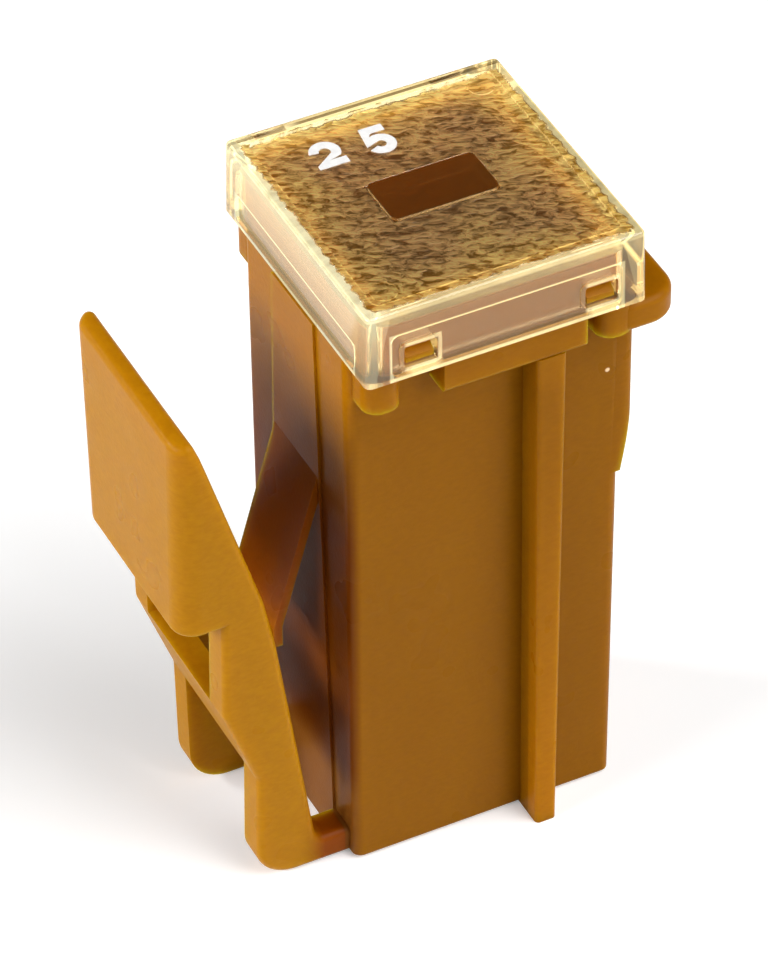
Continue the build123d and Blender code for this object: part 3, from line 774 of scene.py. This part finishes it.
def clear_plastic(settings):
    """Clear moulded plastic with a painted glow at its borders, given as emission, and a grained field round a
    sight window.
    """
    material, shades, shader = new_material("clear_plastic")
    cover = CoverShades(shades, settings)
    field, near_edge = cover.field()
    sight = cover.sight()
    grained = shades.both(shades.maths("SUBTRACT", field, sight, clamp=True), cover.on_top)
    ridges = cover.ridges()
    crest = shades.remap(ridges, *GRAIN_SPAN)
    lines = cover.rims()
    streak = cover.back_streak()

    panel_top = COVER_LOW.z + settings.panel_heights[0]
    rise = shades.remap(cover.z, panel_top, COVER_HIGH.z)
    colour = shades.mix(rise, settings.panel_tint, settings.tint)
    colour = shades.mix(cover.panels(), colour, settings.panel_tint)
    colour = shades.mix(lines, colour, settings.tint)
    # Painted light and shade on the grain's ridges, with a golden painted glow near the field's edge.
    middle = shades.mix(crest, settings.groove_colour, settings.crest_colour)
    golden = shades.mix(crest, settings.edge_groove_colour, settings.edge_crest_colour)
    colour = shades.mix(grained, colour, shades.mix(near_edge, middle, golden))
    colour = shades.mix(shades.both(sight, cover.on_top), colour, settings.sight_tint)
    colour = shades.mix(shades.both(streak, cover.on_top), colour, settings.streak_colour)

    # Painted glow, given as emission: in the rims, the window sills, the plain border and the skirt, with a
    # golden glow over the field's grain.
    glow = shades.either(
        shades.either(shades.both(lines, RIM_GLOW), cover.gleam()),
        shades.either(cover.border_glow(field, streak), cover.wall_glow()),
    )
    glow = shades.both(shades.either(glow, LEAST_GLOW), shades.without(shades.both(cover.on_top, field)))
    cream = shades.mix(cover.leftward, settings.cream, settings.left_cream)
    edges_lit = shades.mix(glow, BLACK, cream)
    lit_grain = shades.mix(crest, LIT_GROOVE, LIT_CREST)
    field_light = shades.both(grained, shades.remap(near_edge, 0.0, 1.0, *FIELD_LIGHT))

    normal = shades.bump(1.0, settings.grain_height, shades.both(ridges, grained))
    shades.feed(shader.inputs["Base Color"], colour)
    shades.feed(shader.inputs["Emission Color"], shades.mix(field_light, edges_lit, lit_grain))
    shades.feed(shader.inputs["Roughness"], shades.remap(grained, 0.0, 1.0, *COVER_ROUGHNESS))
    shades.feed(shader.inputs["Normal"], normal)
    shader.inputs["Transmission Weight"].default_value = settings.clarity
    shader.inputs["Emission Strength"].default_value = settings.edge_glow
    shader.inputs["IOR"].default_value = PLASTIC_IOR
    return material


def tinned_metal(name, colour, cloud, roughness):
    """Dull tin over rolled metal, with soft clouds and fine rolling grain."""
    material, shades, shader = new_material(name)
    place = shades.place()
    clouded = shades.group(
        clouded_colour,
        {"Place": place, "Colour": colour, "Cloud Colour": cloud, "Cloud Scale": TIN_CLOUD_SCALE},
    )
    specked = shades.group(
        specked_colour,
        {
            "Place": place,
            "Colour": clouded.outputs["Colour"],
            "Speck Colour": SPECK_COLOUR,
            "Speck Scale": TIN_SPECK_SCALE,
            "Speck Size": 0.08,
        },
    )
    grain = shades.group(
        fine_grain,
        {
            "Place": shades.stretched(place, (1.0, 6.0, 1.0)),
            "Grain Scale": 4000.0,
            "Wave Scale": 900.0,
            "Wave Share": 0.6,
        },
    )
    shades.feed(shader.inputs["Base Color"], specked.outputs["Colour"])
    shades.feed(shader.inputs["Roughness"], shades.maths("ADD", grain.outputs["Sheen Change"], roughness))
    shades.feed(shader.inputs["Normal"], shades.bump(0.4, 0.01 * MM, grain.outputs["Height"]))
    shader.inputs["Metallic"].default_value = 1.0
    return material


def white_ink(settings):
    """Matt pad-printed ink with a faintly uneven film."""
    material, shades, shader = new_material("white_ink")
    film = shades.noise(shades.place(), FILM_SCALE, roughness=0.6)
    worn = tuple(WORN_TONE * channel for channel in settings.ink)
    shades.feed(shader.inputs["Base Color"], shades.mix(shades.remap(film, 0.3, 0.7), settings.ink, worn))
    shades.feed(shader.inputs["Normal"], shades.bump(0.3, 0.004 * MM, film))
    shader.inputs["Roughness"].default_value = 0.55
    return material


def floor_material(settings):
    """Plain pale floor with a barely uneven tone, paler where the camera sees it and clear from below."""
    material, shades, shader = new_material("studio_floor")
    tone = shades.noise(shades.place(), FLOOR_SCALE, detail=2.0)
    shade = tuple(FLOOR_TONE * channel for channel in settings.floor_colour)
    seen = shades.add("ShaderNodeLightPath").outputs["Is Camera Ray"]
    lift = shades.remap(seen, 0.0, 1.0, 0.0, settings.floor_lift)
    below = shades.add("ShaderNodeNewGeometry").outputs["Backfacing"]
    shades.feed(shader.inputs["Base Color"], shades.mix(tone, settings.floor_colour, shade))
    shades.feed(shader.inputs["Emission Color"], WHITE)
    shades.feed(shader.inputs["Emission Strength"], lift)
    shades.feed(shader.inputs["Alpha"], shades.without(below))
    shader.inputs["Roughness"].default_value = 0.9
    shader.inputs["Specular IOR Level"].default_value = 0.1
    return material


# ================================================================================== shapes
def arc(centre, radius, start, end, steps):
    """Points on a circle of that radius about centre, from one angle in degrees to another."""
    angle = np.radians(np.linspace(start, end, steps))
    return np.stack([centre[0] + radius * np.cos(angle), centre[1] + radius * np.sin(angle)], axis=1)


def numeral_two(width, height, stroke):
    """Outline of a 2: an outer arc over the top, a straight slope to the foot bar, and an inner arc back."""
    outer, start, end, steps = width / 2, 172.0, -38.0, 40
    centre = (outer, height - outer)
    over = arc(centre, outer, start, end, steps)
    back = arc(centre, outer - stroke, end, start, steps)
    foot_bar = np.array(
        [(stroke * 1.5, stroke), (width, stroke), (width, 0.0), (0.0, 0.0), (0.0, stroke * 0.55)]
    )
    return np.concatenate([over, foot_bar, back])


def numeral_five(width, height, stroke):
    """Outline of a 5: the top bar and stem, an outer arc round the bowl, and an inner arc back."""
    outer, start, end, steps = height * 0.345, 118.0, -158.0, 48
    centre = (width - outer, outer)
    bowl = arc(centre, outer, start, end, steps)
    hollow = arc(centre, outer - stroke, end, start + 10.0, steps)
    stem, bar_left, bar_right, bar_foot = width * 0.14, width * 0.24, width * 0.93, height - stroke
    bar = np.array(
        [
            (stem, outer * 1.02),
            (bar_left, height),
            (bar_right, height),
            (bar_right, bar_foot),
            (bar_left + stroke * 0.85, bar_foot),
        ]
    )
    return np.concatenate([bar, bowl, hollow])


def plate(outline, low, high):
    """Vertices and faces of a closed plate: the outline at two heights, joined by one wall quad per side."""
    count = len(outline)
    vertices = np.concatenate([np.c_[outline, np.full(count, low)], np.c_[outline, np.full(count, high)]])
    here = np.arange(count)
    after = np.roll(here, -1)
    walls = np.stack([here, after, after + count, here + count], axis=1)
    return vertices, [tuple(here[::-1]), tuple(here + count), *(tuple(wall) for wall in walls)]


def turns_left(outline):
    """True if the outline runs anticlockwise, by the sign of the area that its sides sweep."""
    x, y = outline.T
    return float(np.sum(x * np.roll(y, -1) - np.roll(x, -1) * y)) > 0


def new_piece(name, vertices, faces, material):
    """A mesh object at the origin with its place in its vertices."""
    mesh = bpy.data.meshes.new(name)
    mesh.from_pydata([tuple(vertex) for vertex in vertices], [], faces)
    mesh.validate()
    mesh.update()
    mesh.materials.append(material)
    piece = bpy.data.objects.new(name, mesh)
    bpy.context.scene.collection.objects.link(piece)
    return piece


def direction(turn, rise):
    """A unit vector that is turned from the front to the right and raised, both in radians."""
    return Vector((math.sin(turn) * math.cos(rise), -math.cos(turn) * math.cos(rise), math.sin(rise)))


# =============================================================================== operators
class FUSE_OT_dress_housing(bpy.types.Operator):
    """Gives the housing its waxy amber plastic"""

    bl_idname = "fuse.dress_housing"
    bl_label = "Dress housing"

    def execute(self, context):
        give_material("housing", amber_plastic(context.scene.fuse_plastic))
        return {"FINISHED"}


class FUSE_OT_dress_cover(bpy.types.Operator):
    """Gives the cover its clear plastic with a grained field"""

    bl_idname = "fuse.dress_cover"
    bl_label = "Dress cover"

    def execute(self, context):
        give_material("clear_cover", clear_plastic(context.scene.fuse_cover))
        return {"FINISHED"}


class FUSE_OT_dress_element(bpy.types.Operator):
    """Gives the element and its pellet their tin"""

    bl_idname = "fuse.dress_element"
    bl_label = "Dress element"

    def execute(self, context):
        metal = context.scene.fuse_metal
        strip = tinned_metal("tinned_strip", metal.strip_colour, metal.strip_cloud, metal.strip_roughness)
        pellet = tinned_metal("dull_tin", metal.pellet_colour, metal.pellet_cloud, metal.pellet_roughness)
        give_material("fuse_element", strip)
        give_material("tin_pellet", pellet)
        return {"FINISHED"}


class FUSE_OT_print_rating(bpy.types.Operator):
    """Prints a plain two-digit number on the cover's field"""

    bl_idname = "fuse.print_rating"
    bl_label = "Print rating"

    def execute(self, context):
        rating = context.scene.fuse_rating
        ink = white_ink(rating)
        field_z = COVER_HIGH.z - rating.field_depth
        digits = (("rating_digit_1", numeral_two, 1.0), ("rating_digit_2", numeral_five, SECOND_GROWTH))
        for index, (name, numeral, growth) in enumerate(digits):
            outline = numeral(growth * rating.width, growth * rating.height, rating.stroke)
            outline[:, 1] -= (growth - 1.0) * rating.height
            if not turns_left(outline):
                outline = outline[::-1]
            outline = outline + np.array([rating.left + index * rating.pitch, rating.foot])
            piece = new_piece(name, *plate(outline, field_z, field_z + rating.ink_thickness), ink)
            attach(piece, "root")
        return {"FINISHED"}


class FUSE_OT_set_studio(bpy.types.Operator):
    """Sets the floor, the soft lights and the camera"""

    bl_idname = "fuse.set_studio"
    bl_label = "Set studio"

    def execute(self, context):
        studio = context.scene.fuse_studio
        self.floor(studio)
        self.sky(context.scene, studio)
        for name, turn, rise, spread, power in LIGHTS:
            away = direction(math.radians(turn), math.radians(rise))
            self.light(name, away, studio.light_distance, spread, getattr(studio, power))
        self.camera(context.scene, studio)
        context.scene.view_settings.view_transform = "Standard"
        context.scene.view_settings.look = "None"
        return {"FINISHED"}

    def floor(self, studio):
        """A square face just under the housing's foot."""
        half = studio.floor_size / 2
        level = HOUSING_LOW.z - FLOOR_GAP
        corners = [(-half, -half, level), (half, -half, level), (half, half, level), (-half, half, level)]
        piece = new_piece("studio_floor", corners, [(0, 1, 2, 3)], floor_material(studio))

    def sky(self, scene, studio):
        """White where the camera sees it, and only as strong as its setting for the light it gives."""
        world = bpy.data.worlds.new("studio_sky")
        world.use_nodes = True
        shades = Shades(world.node_tree)
        seen = shades.add("ShaderNodeLightPath").outputs["Is Camera Ray"]
        back = world.node_tree.nodes["Background"]
        shades.feed(back.inputs["Color"], WHITE)
        shades.feed(back.inputs["Strength"], shades.remap(seen, 0.0, 1.0, studio.sky_strength, 1.0))
        scene.world = world

    def light(self, name, away, distance, spread, power):
        """A square light at a distance along away, turned back to where the lights aim."""
        lamp = bpy.data.lights.new(name, "AREA")
        lamp.shape = "SQUARE"
        lamp.size = spread * distance
        lamp.energy = power
        holder = bpy.data.objects.new(name, lamp)
        holder.location = LIGHT_AIM + away * distance
        holder.rotation_euler = (-away).to_track_quat("-Z", "Y").to_euler()
        bpy.context.scene.collection.objects.link(holder)

    def camera(self, scene, studio):
        """The camera, back from its aim along its direction and rolled about that line."""
        back = direction(studio.azimuth, studio.elevation)
        right = Vector((math.cos(studio.azimuth), math.sin(studio.azimuth), 0.0))
        up = back.cross(right)
        cosine, sine = math.cos(studio.roll), math.sin(studio.roll)
        turned = Matrix((cosine * right + sine * up, cosine * up - sine * right, back)).transposed().to_4x4()
        lens = bpy.data.cameras.new("studio_camera")
        lens.lens = studio.lens
        lens.sensor_width = 36.0
        lens.sensor_fit = "AUTO"
        lens.clip_start = 0.01
        lens.clip_end = 10.0
        holder = bpy.data.objects.new("studio_camera", lens)
        holder.matrix_world = Matrix.Translation(Vector(studio.aim) + back * studio.distance) @ turned
        scene.collection.objects.link(holder)
        scene.camera = holder


class FUSE_PT_build(bpy.types.Panel):
    """Lists the steps that dress the fuse"""

    bl_idname = "FUSE_PT_build"
    bl_label = "Fuse"
    bl_space_type = "VIEW_3D"
    bl_region_type = "UI"
    bl_category = "Fuse"

    def draw(self, context):
        for step in STEPS:
            self.layout.operator(step.bl_idname)
        for name, settings in SETTINGS:
            group = getattr(context.scene, name)
            box = self.layout.box()
            for key in settings.__annotations__:
                box.prop(group, key)


STEPS = (
    FUSE_OT_dress_housing,
    FUSE_OT_dress_cover,
    FUSE_OT_dress_element,
    FUSE_OT_print_rating,
    FUSE_OT_set_studio,
)


def register():
    for name, settings in SETTINGS:
        bpy.utils.register_class(settings)
        setattr(bpy.types.Scene, name, bpy.props.PointerProperty(type=settings))
    for step in STEPS:
        bpy.utils.register_class(step)
    bpy.utils.register_class(FUSE_PT_build)


def unregister():
    bpy.utils.unregister_class(FUSE_PT_build)
    for step in reversed(STEPS):
        bpy.utils.unregister_class(step)
    for name, settings in reversed(SETTINGS):
        delattr(bpy.types.Scene, name)
        bpy.utils.unregister_class(settings)


def main():
    register()
    bpy.ops.fuse.dress_housing()
    bpy.ops.fuse.dress_cover()
    bpy.ops.fuse.dress_element()
    bpy.ops.fuse.print_rating()
    bpy.ops.fuse.set_studio()


if __name__ == "__main__":
    main()
